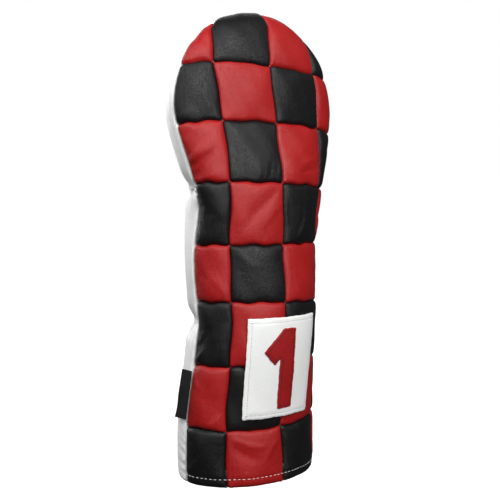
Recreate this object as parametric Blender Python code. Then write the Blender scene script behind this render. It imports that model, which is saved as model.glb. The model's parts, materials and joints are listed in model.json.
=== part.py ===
"""Leather cover for the head of a golf driver, standing mouth down on its hem.

A patchwork front panel and a plain white back panel are sewn together along one seam
that runs up the left side, over the crown and down the right side. The sleeve is
narrow at the neck and swells into a rounded head pocket above it. Inside are a fleece
lining for each panel and two elastic bands that gather the back panel at the neck.

Axes: +Z is up and the front panel faces -Y. The origin is in the middle of the mouth,
on the surface that the hem stands on.
"""

import math

import bmesh
import bpy
import numpy as np
from mathutils import Vector

# ---------------------------------------------------------------- driving dimensions

ROWS = 8                 # squares up the front, row 1 on the crown, row 8 at the hem
COLUMNS = 4              # squares across the front, column 1 at -X
ROW_PITCH = 0.0418       # finished height of a square
COLUMN_PITCH = 0.0410    # finished width of a square, along the leather
HEAD_HEIGHT = 0.2625     # level of the widest section
CROWN_RISE = 0.0675      # from the widest section to the top

# The sleeve's level sections, one every second of the rows and one at the widest level:
# height, half width, depth of the front half, depth of the back half, y of the side seams.
STATIONS = np.array([
    (0.0000, 0.0540, 0.0410, 0.0400, 0.0043),
    (0.0420, 0.0540, 0.0385, 0.0410, 0.0038),
    (0.0840, 0.0500, 0.0390, 0.0420, 0.0003),
    (0.1260, 0.0485, 0.0395, 0.0425, -0.0017),
    (0.1680, 0.0515, 0.0340, 0.0430, -0.0037),
    (0.2100, 0.0565, 0.0280, 0.0450, -0.0092),
    (HEAD_HEIGHT, 0.0685, 0.0215, 0.0475, -0.0057),
])

LEATHER = 0.0012         # thickness of the leather
PUFF = 0.0010            # how far a square swells past the sleeve's surface
SEAM_SINK = 0.0006       # how far the leather dips at its seams
ALLOWANCE_DEPTH = 0.0026  # depth of the seam allowances, which are turned inwards
ALLOWANCE_WALL = 0.0013  # thickness of a turned allowance along the surface
HEM_FOLD = 0.012         # leather turned up inside the mouth
GAP = 0.0004             # clearance between pieces that touch
RIM = 0.992              # share of each half section that its panel covers, up to the side seam
CROWN_TIP = 0.91         # where the two outer crown squares run out to a point

LINING_OUTSIDE = 0.0032  # depth of the lining's outer face below the leather's surface
LINING_THICKNESS = 0.0025
LINING_START = 0.014     # height of the lining's lower edge

ELASTIC_HEIGHTS = {"upper": 0.205, "lower": 0.112}
ELASTIC_WIDTH = 0.010
ELASTIC_OUTSIDE = 0.0015
ELASTIC_THICKNESS = 0.0010
ELASTIC_END = 0.12       # the bands stop short of the side seams, as a share of the panel

PATCH_BOTTOM = 0.0470
PATCH_TOP = 0.1170
PATCH_LEFT = -0.0288     # distances along the leather from the centre seam
PATCH_RIGHT_BOTTOM = 0.0255
PATCH_RIGHT_TOP = 0.0300
PATCH_CORNER = 0.0030
APPLIQUE = 0.0010        # thickness of the patch and of the numeral

NUMERAL_BOTTOM = 0.0530
NUMERAL_TOP = 0.1093
NUMERAL_STEM = (-0.0048, 0.0072)   # left and right edges of the upright
NUMERAL_FLAG_TIP = (-0.0172, 0.0935)
NUMERAL_FLAG_HEEL = (-0.0085, 0.0842)
NUMERAL_FLAG_ROOT = 0.0885

HEM_STITCH_HEIGHT = 0.0060
PATCH_STITCH_INSET = 0.0030
NUMERAL_STITCH_INSET = 0.0020
THREAD_RADIUS = 0.0003

LABEL_BOTTOM = 0.0450
LABEL_TOP = 0.0790
LABEL_WIDTH = 0.0090
LABEL_THICKNESS = 0.0009
LABEL_LEAN = math.radians(4)       # it lies close along the back panel
LABEL_STANDOFF = 0.0016            # from the leather to the label's sewn edge

SQUARE_CELLS = 4         # mesh cells along each side of a square
PANEL_CELLS = (20, 18)   # mesh cells across and up a whole panel

FRONT = -1
BACK = 1

# ---------------------------------------------------------------- the sleeve's surface


def spline_slopes(knots, values):
    """Slopes of a smooth curve through the values, level at the last knot."""
    count = len(knots)
    step = np.diff(knots)[:, None]
    rise = np.diff(values, axis=0) / step
    system = np.zeros((count, count))
    wanted = np.zeros_like(values)
    system[0, :2] = (2, 1)
    wanted[0] = 3 * rise[0]
    for i in range(1, count - 1):
        before, after = step[i - 1, 0], step[i, 0]
        system[i, i - 1:i + 2] = (after, 2 * (before + after), before)
        wanted[i] = 3 * (after * rise[i - 1] + before * rise[i])
    system[-1, -1] = 1
    return np.linalg.solve(system, wanted)


HEIGHTS = STATIONS[:, 0]
SECTIONS = STATIONS[:, 1:]
SLOPES = spline_slopes(HEIGHTS, SECTIONS)


def section(height):
    """Half width, front depth, back depth and seam y of the level section."""
    height = min(height, HEAD_HEIGHT)
    i = int(np.clip(np.searchsorted(HEIGHTS, height) - 1, 0, len(HEIGHTS) - 2))
    step = HEIGHTS[i + 1] - HEIGHTS[i]
    t = (height - HEIGHTS[i]) / step
    low = (1 + 2 * t) * (1 - t) ** 2 * SECTIONS[i] + t * (1 - t) ** 2 * step * SLOPES[i]
    high = t * t * (3 - 2 * t) * SECTIONS[i + 1] + t * t * (t - 1) * step * SLOPES[i + 1]
    return low + high


def skin(side, u, w, depth=0.0):
    """A point of the sleeve, at a depth below its surface.

    u runs from -1 at the left side seam to 1 at the right one. w is the height up to
    the widest section, and above it the way over the crown, which is part of an
    ellipsoid.
    """
    half_width, front_depth, back_depth, seam_y = section(w)
    reach = (front_depth if side == FRONT else back_depth) - depth
    half_width -= depth
    across = u * math.pi / 2
    if w <= HEAD_HEIGHT:
        return Vector((half_width * math.sin(across), seam_y + side * reach * math.cos(across), w))
    over = (w - HEAD_HEIGHT) / CROWN_RISE
    tilt = math.hypot(across, over)
    share = math.sin(tilt) / tilt
    rise = (CROWN_RISE - depth) * share * over
    return Vector((half_width * share * across, seam_y + side * reach * math.cos(tilt),
                   HEAD_HEIGHT + rise))


def across_at(distance, w):
    """The u that lies a distance along the front leather from the centre seam."""
    samples = np.linspace(0, 1, 61)
    points = np.array([skin(FRONT, u, min(w, HEAD_HEIGHT)) for u in samples])
    steps = np.linalg.norm(np.diff(points, axis=0), axis=1)
    lengths = np.concatenate([[0], np.cumsum(steps)])
    return math.copysign(float(np.interp(abs(distance), lengths, samples)), distance)


def mix(low, high, share):
    return low + (high - low) * share


def rim_across(w):
    """The u of the side seam at w."""
    over = max(w - HEAD_HEIGHT, 0) / (CROWN_RISE * math.pi / 2)
    return math.sqrt(max(RIM * RIM - over * over, 0))


def rim_over(u):
    """The w of the crown seam at u."""
    return HEAD_HEIGHT + CROWN_RISE * math.pi / 2 * math.sqrt(max(RIM * RIM - u * u, 0))


# ---------------------------------------------------------------- seams between squares

SHOULDER_SEAM_DROOP = 0.003   # the seam below row 2 sinks towards the sides
CROWN_SEAM_RISE = 0.0117      # the seam below row 1 is straight, so it climbs in w
CROWN_SPREAD = 0.08           # the left column seam leans out over the crown


def row_seam(level, u):
    """The w of the seam that lies a number of rows above the hem."""
    if level == ROWS:
        return rim_over(u)
    bend = {ROWS - 2: -SHOULDER_SEAM_DROOP, ROWS - 1: CROWN_SEAM_RISE}.get(level, 0)
    return level * ROW_PITCH + bend * u * u


def column_seam(index, row, w):
    """The u of a column seam, counted from 0 at the left side seam."""
    middle = COLUMNS // 2
    if index in (0, COLUMNS):
        edge = CROWN_TIP if row == 1 else rim_across(w)
        return -edge if index == 0 else edge
    if index == middle:
        return 0.0
    u = across_at((index - middle) * COLUMN_PITCH, w)
    if index < middle:
        u -= CROWN_SPREAD * float(np.clip((w - 6 * ROW_PITCH) / ROW_PITCH, 0, 1))
    return u


def square_place(row, column):
    """The map from a square's own s and t, 0 to 1 across and up, to u and w."""
    level = ROWS - row

    def place(s, t):
        w = (level + t) * ROW_PITCH
        u = 0.0
        for _ in range(5):
            u = mix(column_seam(column - 1, row, w), column_seam(column, row, w), s)
            w = mix(row_seam(level, u), row_seam(level + 1, u), t)
        return u, w

    return place


def panel_place(start):
    """The map from s and t to u and w over a whole panel, above a starting height."""
    def place(s, t):
        u = -RIM * math.cos(math.pi * s)
        return u, mix(start, rim_over(u), t)

    return place


def swell(s, t, sharpness):
    """Depth of the leather below the sleeve's surface, lowest along the seams."""
    across = 1 - (2 * s - 1) ** sharpness
    up = 1 - (2 * t - 1) ** sharpness
    return SEAM_SINK - (SEAM_SINK + PUFF) * across * up


# ---------------------------------------------------------------- building meshes


def add_object(name, points, faces, finish):
    """One named solid with its own material and outward faces."""
    mesh = bpy.data.meshes.new(name)
    mesh.from_pydata([tuple(p) for p in points], [], faces)
    solid = bmesh.new()
    solid.from_mesh(mesh)
    bmesh.ops.triangulate(solid, faces=solid.faces[:])
    bmesh.ops.recalc_face_normals(solid, faces=solid.faces[:])
    solid.to_mesh(mesh)
    solid.free()
    mesh.shade_smooth()
    mesh.set_sharp_from_angle(angle=math.radians(40))
    made = bpy.data.objects.new(name, mesh)
    mesh.materials.append(principled(name, *finish))
    bpy.context.scene.collection.objects.link(made)
    return made


def principled(name, colour, roughness):
    material = bpy.data.materials.new(name + "_finish")
    material.use_nodes = True
    shader = material.node_tree.nodes["Principled BSDF"]
    shader.inputs["Base Color"].default_value = (*colour, 1)
    shader.inputs["Roughness"].default_value = roughness
    shader.inputs["Metallic"].default_value = 0
    material.diffuse_color = (*colour, 1)
    return material


def grid_faces(offset, across, up):
    """Quads of a grid of points, row after row."""
    faces = []
    for j in range(up):
        for i in range(across):
            corner = offset + j * (across + 1) + i
            faces.append((corner, corner + 1, corner + across + 2, corner + across + 1))
    return faces


def border(across, up):
    """Indices of a grid's outer points, once around."""
    row = across + 1
    bottom = list(range(across))
    right = [j * row + across for j in range(up)]
    top = [up * row + i for i in range(across, 0, -1)]
    left = [j * row for j in range(up, 0, -1)]
    return bottom + right + top + left


def band_faces(first, second):
    """Quads between two closed loops of point indices."""
    count = len(first)
    return [(first[i], first[(i + 1) % count], second[(i + 1) % count], second[i])
            for i in range(count)]


def layer(name, outer, inner, across, up, finish):
    """A sheet between two grids of points."""
    rim = border(across, up)
    shift = len(outer)
    faces = grid_faces(0, across, up) + grid_faces(shift, across, up)
    faces += band_faces(rim, [shift + i for i in rim])
    return add_object(name, list(outer) + list(inner), faces, finish)


def tray(name, side, place, cells, gaps, walls, sharpness, finish):
    """Leather with its edges turned inwards.

    gaps and walls are shares of the piece at its left, right, bottom and top edges:
    the clearance to its neighbour, and the clearance and the turned edge together.
    """
    across, up = cells

    def grid(left, right, bottom, top):
        return [(s, t) for t in np.linspace(bottom, 1 - top, up + 1)
                for s in np.linspace(left, 1 - right, across + 1)]

    def at(s, t, depth):
        return skin(side, *place(s, t), depth)

    outside, inside = grid(*gaps), grid(*walls)
    points = [at(s, t, swell(s, t, sharpness)) for s, t in outside]
    points += [at(s, t, swell(s, t, sharpness) + LEATHER) for s, t in inside]
    rim = border(across, up)
    outer_foot = [len(points) + i for i in range(len(rim))]
    points += [at(*outside[i], ALLOWANCE_DEPTH) for i in rim]
    inner_foot = [len(points) + i for i in range(len(rim))]
    points += [at(*inside[i], ALLOWANCE_DEPTH) for i in rim]
    shift = len(outside)
    faces = grid_faces(0, across, up) + grid_faces(shift, across, up)
    faces += band_faces(rim, outer_foot)
    faces += band_faces(outer_foot, inner_foot)
    faces += band_faces(inner_foot, [shift + i for i in rim])
    return add_object(name, points, faces, finish)


def tube(name, points, outwards, closed, finish, sides=6):
    """Thread of round section through points, given the way out of the leather at each."""
    count = len(points)
    rings = []
    for i, (point, out) in enumerate(zip(points, outwards)):
        before = points[i - 1] if closed or i else point
        after = points[(i + 1) % count] if closed or i < count - 1 else point
        along = (after - before).normalized()
        sideways = along.cross(out).normalized()
        out = sideways.cross(along)
        for k in range(sides):
            turn = math.tau * k / sides
            rings.append(point + THREAD_RADIUS * (math.cos(turn) * out + math.sin(turn) * sideways))
    faces = []
    for i in range(count if closed else count - 1):
        first = [i * sides + k for k in range(sides)]
        second = [(i + 1) % count * sides + k for k in range(sides)]
        faces += band_faces(first, second)
    if not closed:
        faces.append(tuple(range(sides)))
        faces.append(tuple(range((count - 1) * sides, count * sides)))
    return add_object(name, rings, faces, finish)


# ---------------------------------------------------------------- leather panels

RED = ((0.46, 0.040, 0.036), 0.48)
BLACK = ((0.022, 0.022, 0.024), 0.45)
WHITE = ((0.80, 0.80, 0.76), 0.50)
FLEECE = ((0.30, 0.31, 0.32), 0.95)
ELASTIC = ((0.75, 0.75, 0.73), 0.85)
NUMERAL_RED = ((0.30, 0.018, 0.020), 0.50)
LABEL_BLACK = ((0.015, 0.015, 0.017), 0.80)
WHITE_THREAD = ((0.82, 0.81, 0.77), 0.70)
GREY_THREAD = ((0.42, 0.43, 0.44), 0.70)
DARK_THREAD = ((0.09, 0.010, 0.012), 0.70)

SQUARE_SHARPNESS = 4     # a square swells slowly from its seams
PANEL_SHARPNESS = 8


def make_squares():
    for row in range(1, ROWS + 1):
        for column in range(1, COLUMNS + 1):
            place = square_place(row, column)
            width = (skin(FRONT, *place(1, 0.5)) - skin(FRONT, *place(0, 0.5))).length
            height = (skin(FRONT, *place(0.5, 1)) - skin(FRONT, *place(0.5, 0))).length
            gap_s = GAP / 2 / width
            gap_t = GAP / 2 / height
            wall_s = gap_s + ALLOWANCE_WALL / width
            wall_t = gap_t + ALLOWANCE_WALL / height
            at_hem = row == ROWS
            gaps = (gap_s, gap_s, 0 if at_hem else gap_t, gap_t)
            walls = (wall_s, wall_s, HEM_FOLD / height if at_hem else wall_t, wall_t)
            finish = RED if (row + column) % 2 == 0 else BLACK
            tray(f"check_r{row}_c{column}", FRONT, place, (SQUARE_CELLS, SQUARE_CELLS),
                 gaps, walls, SQUARE_SHARPNESS, finish)


def make_back_panel():
    length = rim_over(0)
    side_wall = 0.06     # in s, which crowds towards the side seams
    top_wall = 2 * ALLOWANCE_WALL / length
    tray("back_panel", BACK, panel_place(0), PANEL_CELLS, (0, 0, 0, 0),
         (side_wall, side_wall, HEM_FOLD / length, top_wall), PANEL_SHARPNESS, WHITE)


def make_linings():
    across, up = PANEL_CELLS
    place = panel_place(LINING_START)
    for name, side in (("front_lining", FRONT), ("back_lining", BACK)):
        def grid(depth):
            return [skin(side, *place(i / across, j / up), depth)
                    for j in range(up + 1) for i in range(across + 1)]
        layer(name, grid(LINING_OUTSIDE), grid(LINING_OUTSIDE + LINING_THICKNESS), across, up, FLEECE)


def back_columns():
    """The u of the back panel's mesh columns that lie between the ends of the elastic."""
    shares = np.linspace(0, 1, PANEL_CELLS[0] + 1)
    return [-RIM * math.cos(math.pi * s) for s in shares if ELASTIC_END < s < 1 - ELASTIC_END]


def make_elastics():
    columns = back_columns()
    for name, height in ELASTIC_HEIGHTS.items():
        def grid(depth):
            return [skin(BACK, u, height + lift, depth)
                    for lift in (-ELASTIC_WIDTH / 2, ELASTIC_WIDTH / 2) for u in columns]
        layer(f"elastic_{name}", grid(ELASTIC_OUTSIDE), grid(ELASTIC_OUTSIDE + ELASTIC_THICKNESS),
              len(columns) - 1, 1, ELASTIC)


# ---------------------------------------------------------------- patch and numeral

PATCH_BACK = -(PUFF + GAP)
PATCH_FRONT = PATCH_BACK - APPLIQUE
NUMERAL_BACK = PATCH_FRONT - GAP
NUMERAL_FRONT = NUMERAL_BACK - APPLIQUE
CUT_STEP_ACROSS = 0.0075
CUT_STEP_UP = 0.018


def patch_outline(inset):
    """Corners of the patch, rounded, as distances across and heights."""
    corners = [(PATCH_LEFT + inset, PATCH_BOTTOM + inset),
               (PATCH_RIGHT_BOTTOM - inset, PATCH_BOTTOM + inset),
               (PATCH_RIGHT_TOP - inset, PATCH_TOP - inset),
               (PATCH_LEFT + inset, PATCH_TOP - inset)]
    return round_corners(corners, max(PATCH_CORNER - inset, 0.001))


def numeral_outline():
    left, right = NUMERAL_STEM
    return [(left, NUMERAL_BOTTOM), (right, NUMERAL_BOTTOM), (right, NUMERAL_TOP),
            (left + 0.001, NUMERAL_TOP), NUMERAL_FLAG_TIP, NUMERAL_FLAG_HEEL,
            (left, NUMERAL_FLAG_ROOT)]


def round_corners(corners, radius):
    """Each corner replaced by three points of an arc."""
    outline = []
    count = len(corners)
    for i, corner in enumerate(corners):
        corner = Vector(corner)
        start = corner + radius * (Vector(corners[i - 1]) - corner).normalized()
        end = corner + radius * (Vector(corners[(i + 1) % count]) - corner).normalized()
        middle = (start + end) * 0.25 + corner * 0.5
        outline += [tuple(start), tuple(middle), tuple(end)]
    return outline


def inset_outline(outline, inset):
    """The outline moved inwards, for an outline that runs anticlockwise."""
    moved = []
    count = len(outline)
    for i in range(count):
        point = Vector(outline[i])
        before = (point - Vector(outline[i - 1])).normalized()
        after = (Vector(outline[(i + 1) % count]) - point).normalized()
        normal_before = Vector((-before.y, before.x))
        normal_after = Vector((-after.y, after.x))
        bisector = normal_before + normal_after
        moved.append(tuple(point + bisector * inset * 2 / bisector.length_squared))
    return moved


def on_front(distance, height, depth):
    return skin(FRONT, across_at(distance, height), height, depth)


def applique(name, outline, back, front, finish):
    """A flat piece of leather laid on the front panel."""
    flat = bmesh.new()
    flat.faces.new([flat.verts.new((x, 0, z)) for x, z in outline])
    for step, axis in ((CUT_STEP_ACROSS, 0), (CUT_STEP_UP, 2)):
        low = min(v.co[axis] for v in flat.verts)
        high = max(v.co[axis] for v in flat.verts)
        for k in range(math.ceil(low / step), math.floor(high / step) + 1):
            cut = Vector((0, 0, 0))
            cut[axis] = k * step
            normal = Vector((0, 0, 0))
            normal[axis] = 1
            bmesh.ops.bisect_plane(flat, geom=flat.verts[:] + flat.edges[:] + flat.faces[:],
                                   plane_co=cut, plane_no=normal, dist=1e-6)
    bmesh.ops.triangulate(flat, faces=flat.faces[:])
    flat.verts.index_update()
    places = [(v.co.x, v.co.z) for v in flat.verts]
    count = len(places)
    points = [on_front(x, z, front) for x, z in places] + [on_front(x, z, back) for x, z in places]
    tops = [tuple(v.index for v in f.verts) for f in flat.faces]
    faces = tops + [tuple(i + count for i in reversed(f)) for f in tops]
    for edge in flat.edges:
        if edge.is_boundary:
            i, j = (v.index for v in edge.verts)
            faces.append((i, j, j + count, i + count))
    flat.free()
    return add_object(name, points, faces, finish)


def front_loop(outline, depth, spacing):
    """Points along a closed outline on the front panel, and the way out at each."""
    points = []
    count = len(outline)
    for i in range(count):
        start = Vector(outline[i])
        end = Vector(outline[(i + 1) % count])
        pieces = max(1, round((end - start).length / spacing))
        points += [start + (end - start) * k / pieces for k in range(pieces)]
    centres = [on_front(p.x, p.y, depth) for p in points]
    outwards = [on_front(p.x, p.y, depth - 0.001) - c for p, c in zip(points, centres)]
    return centres, outwards


def make_patch_and_numeral():
    applique("number_patch", patch_outline(0), PATCH_BACK, PATCH_FRONT, WHITE)
    applique("numeral_one", numeral_outline(), NUMERAL_BACK, NUMERAL_FRONT, NUMERAL_RED)
    lift = GAP + THREAD_RADIUS
    tube("patch_stitching", *front_loop(patch_outline(PATCH_STITCH_INSET), PATCH_FRONT - lift, 0.007),
         True, GREY_THREAD)
    loop = inset_outline(numeral_outline(), NUMERAL_STITCH_INSET)
    tube("numeral_stitching", *front_loop(loop, NUMERAL_FRONT - lift, 0.006), True, DARK_THREAD)


# ---------------------------------------------------------------- stitching on the leather


def thread_points(side, places):
    points = [skin(side, u, w, depth) for u, w, depth in places]
    outwards = [skin(side, u, w, depth - 0.001) - p for (u, w, depth), p in zip(places, points)]
    return points, outwards


def make_hem_stitching():
    """One thread all round the mouth, on the mesh columns of the leather under it."""
    lift = GAP + THREAD_RADIUS
    w = HEM_STITCH_HEIGHT
    cell = 1 / SQUARE_CELLS
    share = w / ROW_PITCH / cell
    front = []
    for column in range(1, COLUMNS + 1):
        place = square_place(ROWS, column)
        for k in range(SQUARE_CELLS + 1):
            s = float(np.clip(k * cell, 0.01, 0.99))
            depth = mix(swell(s, 0, SQUARE_SHARPNESS), swell(s, cell, SQUARE_SHARPNESS), share)
            front.append((place(s, 0)[0], w, depth - lift))
    back = []
    across, up = PANEL_CELLS
    for i in range(across, -1, -1):
        s = i / across
        u, top = panel_place(0)(s, 1 / up)
        depth = mix(swell(s, 0, PANEL_SHARPNESS), swell(s, 1 / up, PANEL_SHARPNESS), w / top)
        back.append((u, w, depth - lift))
    points, outwards = thread_points(FRONT, front)
    back_points, back_outwards = thread_points(BACK, back)
    tube("hem_stitching", points + back_points, outwards + back_outwards, True, WHITE_THREAD)


def make_gather_stitching():
    """The lines of stitching that hold the elastic bands to the back panel."""
    lift = PUFF + 2 * GAP + THREAD_RADIUS
    for name, height in ELASTIC_HEIGHTS.items():
        points, outwards = thread_points(BACK, [(u, height, -lift) for u in back_columns()])
        tube(f"gather_stitching_{name}", points, outwards, False, WHITE_THREAD)


# ---------------------------------------------------------------- seam label


def make_label():
    """Folded ribbon sewn into the left side seam. It swings about the seam."""
    back_and_out = Vector((-math.sin(LABEL_LEAN), math.cos(LABEL_LEAN), 0))
    off = Vector((-math.cos(LABEL_LEAN), -math.sin(LABEL_LEAN), 0)) * LABEL_THICKNESS / 2
    outer, inner = [], []
    for w in (LABEL_BOTTOM, LABEL_TOP):
        sewn = skin(BACK, -1, w, SEAM_SINK) + Vector((-LABEL_STANDOFF, 0, 0))
        for reach in (0, LABEL_WIDTH):
            outer.append(sewn + back_and_out * reach + off)
            inner.append(sewn + back_and_out * reach - off)
    layer("seam_label", outer, inner, 1, 1, LABEL_BLACK)


# ---------------------------------------------------------------- the whole cover


def main():
    for old in list(bpy.data.objects):
        bpy.data.objects.remove(old, do_unlink=True)
    make_squares()
    make_back_panel()
    make_linings()
    make_elastics()
    make_patch_and_numeral()
    make_hem_stitching()
    make_gather_stitching()
    make_label()


main()
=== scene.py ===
import json
import math

import bmesh
import bpy
import numpy as np
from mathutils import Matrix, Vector

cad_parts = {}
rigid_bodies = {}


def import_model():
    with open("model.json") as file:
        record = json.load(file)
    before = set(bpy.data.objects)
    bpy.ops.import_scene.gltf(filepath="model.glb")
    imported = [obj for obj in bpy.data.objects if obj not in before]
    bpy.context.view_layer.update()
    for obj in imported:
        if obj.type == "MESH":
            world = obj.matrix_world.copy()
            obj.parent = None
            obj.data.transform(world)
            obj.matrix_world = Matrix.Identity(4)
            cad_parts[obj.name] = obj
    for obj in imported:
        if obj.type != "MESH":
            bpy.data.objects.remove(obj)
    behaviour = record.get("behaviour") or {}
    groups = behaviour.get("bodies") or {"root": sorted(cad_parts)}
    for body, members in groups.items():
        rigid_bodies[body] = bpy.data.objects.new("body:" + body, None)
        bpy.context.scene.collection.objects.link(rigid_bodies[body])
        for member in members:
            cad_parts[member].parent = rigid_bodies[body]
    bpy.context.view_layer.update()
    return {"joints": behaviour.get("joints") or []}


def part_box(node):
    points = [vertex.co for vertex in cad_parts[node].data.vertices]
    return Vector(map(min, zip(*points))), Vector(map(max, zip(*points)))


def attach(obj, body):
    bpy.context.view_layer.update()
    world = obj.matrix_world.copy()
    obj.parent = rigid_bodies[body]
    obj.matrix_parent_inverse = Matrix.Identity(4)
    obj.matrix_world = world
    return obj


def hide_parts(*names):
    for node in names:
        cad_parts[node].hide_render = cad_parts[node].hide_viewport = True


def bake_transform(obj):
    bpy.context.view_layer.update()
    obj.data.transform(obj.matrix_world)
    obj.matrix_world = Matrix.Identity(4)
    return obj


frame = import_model()

MM = 0.001
FRONT = -1
BACK = 1

# ---- driving dimensions
# The sleeve is the CAD's own: its rows, its level sections and its crown.

ROWS = 8
COLUMNS = 4
ROW_PITCH = 0.0418
COLUMN_PITCH = 0.041
HEAD_HEIGHT = 0.2625
CROWN_RISE = 0.0675

# height, half width, depth of the front half, depth of the back half, y of the side seams
STATIONS = np.array([
    (0.0000, 0.0540, 0.0410, 0.0400, 0.0043),
    (0.0420, 0.0540, 0.0385, 0.0410, 0.0038),
    (0.0840, 0.0500, 0.0390, 0.0420, 0.0003),
    (0.1260, 0.0485, 0.0395, 0.0425, -0.0017),
    (0.1680, 0.0515, 0.0340, 0.0430, -0.0037),
    (0.2100, 0.0565, 0.0280, 0.0450, -0.0092),
    (HEAD_HEIGHT, 0.0685, 0.0215, 0.0475, -0.0057),
])

SHOULDER_SEAM_DROOP = 0.003
CROWN_SEAM_RISE = 0.0117
CROWN_SPREAD = 0.08
RIM = 0.996
CROWN_TIP = 0.915

# How far each row seam, counted up from the hem, runs above its level: at the left
# side, in the middle and at the right side.
ROW_WANDER = {
    1: (-1.6, -3.4, -0.2),
    2: (-0.5, -0.5, -0.5),
    3: (1.6, 1.4, -4.5),
    4: (-0.8, -0.8, -0.8),
    5: (-1.1, -0.3, -5.0),
    6: (-1.5, 0.0, -2.5),
    7: (-1.8, -0.6, -5.0),
}

# How far each column seam, counted from the left side seam, runs to the right of its
# place, at each row seam.
COLUMN_WANDER = {
    1: (0.0, 0.0, -0.7, -1.3, 0.7, 1.3, 0.3, 0.6, -4.5),
    2: (3.9, 3.0, 2.4, 1.8, 2.2, 2.0, 3.5, -0.4, 4.3),
    3: (8.0, 9.5, 10.5, 10.5, 8.5, 7.2, 8.8, 7.2, 13.0),
}

ELASTICS = {"upper": 0.205, "lower": 0.112}

# The channels that the elastics draw into the back: depth, and reach up and down.
CHANNELS = {"upper": (0.0036, 0.0085), "lower": (0.005, 0.007)}

# Where the side seams stand in, or out for a distance below 0: height, reach up and
# down, and distance.
SEAM_PINCHES = ((0.191, 0.016, 0.003), (0.11, 0.01, 0.0012), (0.148, 0.018, -0.0016),
                (0.258, 0.032, -0.001))

# The neck stands out a little on its right.
BULGE = 0.0036
BULGE_HEIGHT = 0.113
BULGE_REACH = 0.045
BULGE_ACROSS = 0.65      # the u of its middle
BULGE_SPREAD = 0.3      # its reach in u


# ---- the sleeve's surface


def spline_slopes(knots, values):
    """Slopes of a smooth curve through the values, level at the last knot."""
    count = len(knots)
    step = np.diff(knots)[:, None]
    rise = np.diff(values, axis=0) / step
    system = np.zeros((count, count))
    wanted = np.zeros_like(values)
    system[0, :2] = (2, 1)
    wanted[0] = 3 * rise[0]
    for i in range(1, count - 1):
        before, after = step[i - 1, 0], step[i, 0]
        system[i, i - 1:i + 2] = (after, 2 * (before + after), before)
        wanted[i] = 3 * (after * rise[i - 1] + before * rise[i])
    system[-1, -1] = 1
    return np.linalg.solve(system, wanted)


HEIGHTS = STATIONS[:, 0]
SECTIONS = STATIONS[:, 1:]
SLOPES = spline_slopes(HEIGHTS, SECTIONS)


def mix(low, high, share):
    return low + (high - low) * share


def hump(x, middle, width):
    """1 at the middle, falling to nothing a few widths away."""
    return np.exp(-((x - middle) / width) ** 2)


def unit(vectors):
    return vectors / np.linalg.norm(vectors, axis=-1, keepdims=True)


def smooth(x):
    """0 below 0, 1 above 1, and a smooth step between."""
    x = np.clip(x, 0, 1)
    return x * x * (3 - 2 * x)


def section(w):
    """Half width, front depth, back depth and seam y of the level sections."""
    w = np.minimum(np.asarray(w, float), HEAD_HEIGHT)
    i = np.clip(np.searchsorted(HEIGHTS, w) - 1, 0, len(HEIGHTS) - 2)
    step = (HEIGHTS[i + 1] - HEIGHTS[i])[..., None]
    t = (w - HEIGHTS[i])[..., None] / step
    low = (1 + 2 * t) * (1 - t) ** 2 * SECTIONS[i] + t * (1 - t) ** 2 * step * SLOPES[i]
    high = t * t * (3 - 2 * t) * SECTIONS[i + 1] + t * t * (t - 1) * step * SLOPES[i + 1]
    return np.moveaxis(low + high, -1, 0)


def skin(side, u, w, depth=0.0):
    """Points of the sleeve, at a depth below its surface.

    u runs from -1 at the left side seam to 1 at the right one. w is the height up to
    the widest section, and above it the way over the crown, part of an ellipsoid.
    """
    u, w, depth = np.broadcast_arrays(np.asarray(u, float), np.asarray(w, float), depth)
    half_width, front_depth, back_depth, seam_y = section(w)
    reach = (front_depth if side == FRONT else back_depth) - depth
    bulge = BULGE * hump(u, BULGE_ACROSS, BULGE_SPREAD) * hump(w, BULGE_HEIGHT, BULGE_REACH)
    half_width = half_width - depth + bulge
    across = u * math.pi / 2
    over = np.maximum(w - HEAD_HEIGHT, 0) / CROWN_RISE
    tilt = np.maximum(np.hypot(across, over), 1e-9)
    share = np.sin(tilt) / tilt
    crown = over > 0
    x = np.where(crown, half_width * share * across, half_width * np.sin(across))
    y = seam_y + side * reach * np.where(crown, np.cos(tilt), np.cos(across))
    z = np.where(crown, HEAD_HEIGHT + (CROWN_RISE - depth) * share * over, w)
    return np.stack([x, y, z], axis=-1)


ARC_U = np.linspace(0, 1, 91)
ARC_W = np.linspace(0, HEAD_HEIGHT, 80)


def arc_table():
    """Length along the front leather from the middle to each u, at each height."""
    grid = skin(FRONT, ARC_U[None, :], ARC_W[:, None])
    steps = np.linalg.norm(np.diff(grid, axis=1), axis=2)
    return np.concatenate([np.zeros((len(ARC_W), 1)), np.cumsum(steps, axis=1)], axis=1)


ARC_LENGTHS = arc_table()
COLUMN_U = np.array([np.interp(COLUMN_PITCH, lengths, ARC_U) for lengths in ARC_LENGTHS])


def across_at(distance, w):
    """The u that lies a distance along the front leather from the centre seam."""
    found = []
    for far, height in zip(distance, w):
        k = min(height, HEAD_HEIGHT) / HEAD_HEIGHT * (len(ARC_W) - 1)
        low = int(min(k, len(ARC_W) - 2))
        lengths = mix(ARC_LENGTHS[low], ARC_LENGTHS[low + 1], k - low)
        found.append(math.copysign(np.interp(abs(far), lengths, ARC_U), far))
    return np.array(found)


def rim_across(w):
    """The u of the side seam at w."""
    over = np.maximum(w - HEAD_HEIGHT, 0) / (CROWN_RISE * math.pi / 2)
    return np.sqrt(np.maximum(RIM * RIM - over * over, 0))


def rim_over(u):
    """The w of the crown seam at u."""
    return HEAD_HEIGHT + CROWN_RISE * math.pi / 2 * np.sqrt(np.maximum(RIM * RIM - u * u, 0))


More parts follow.
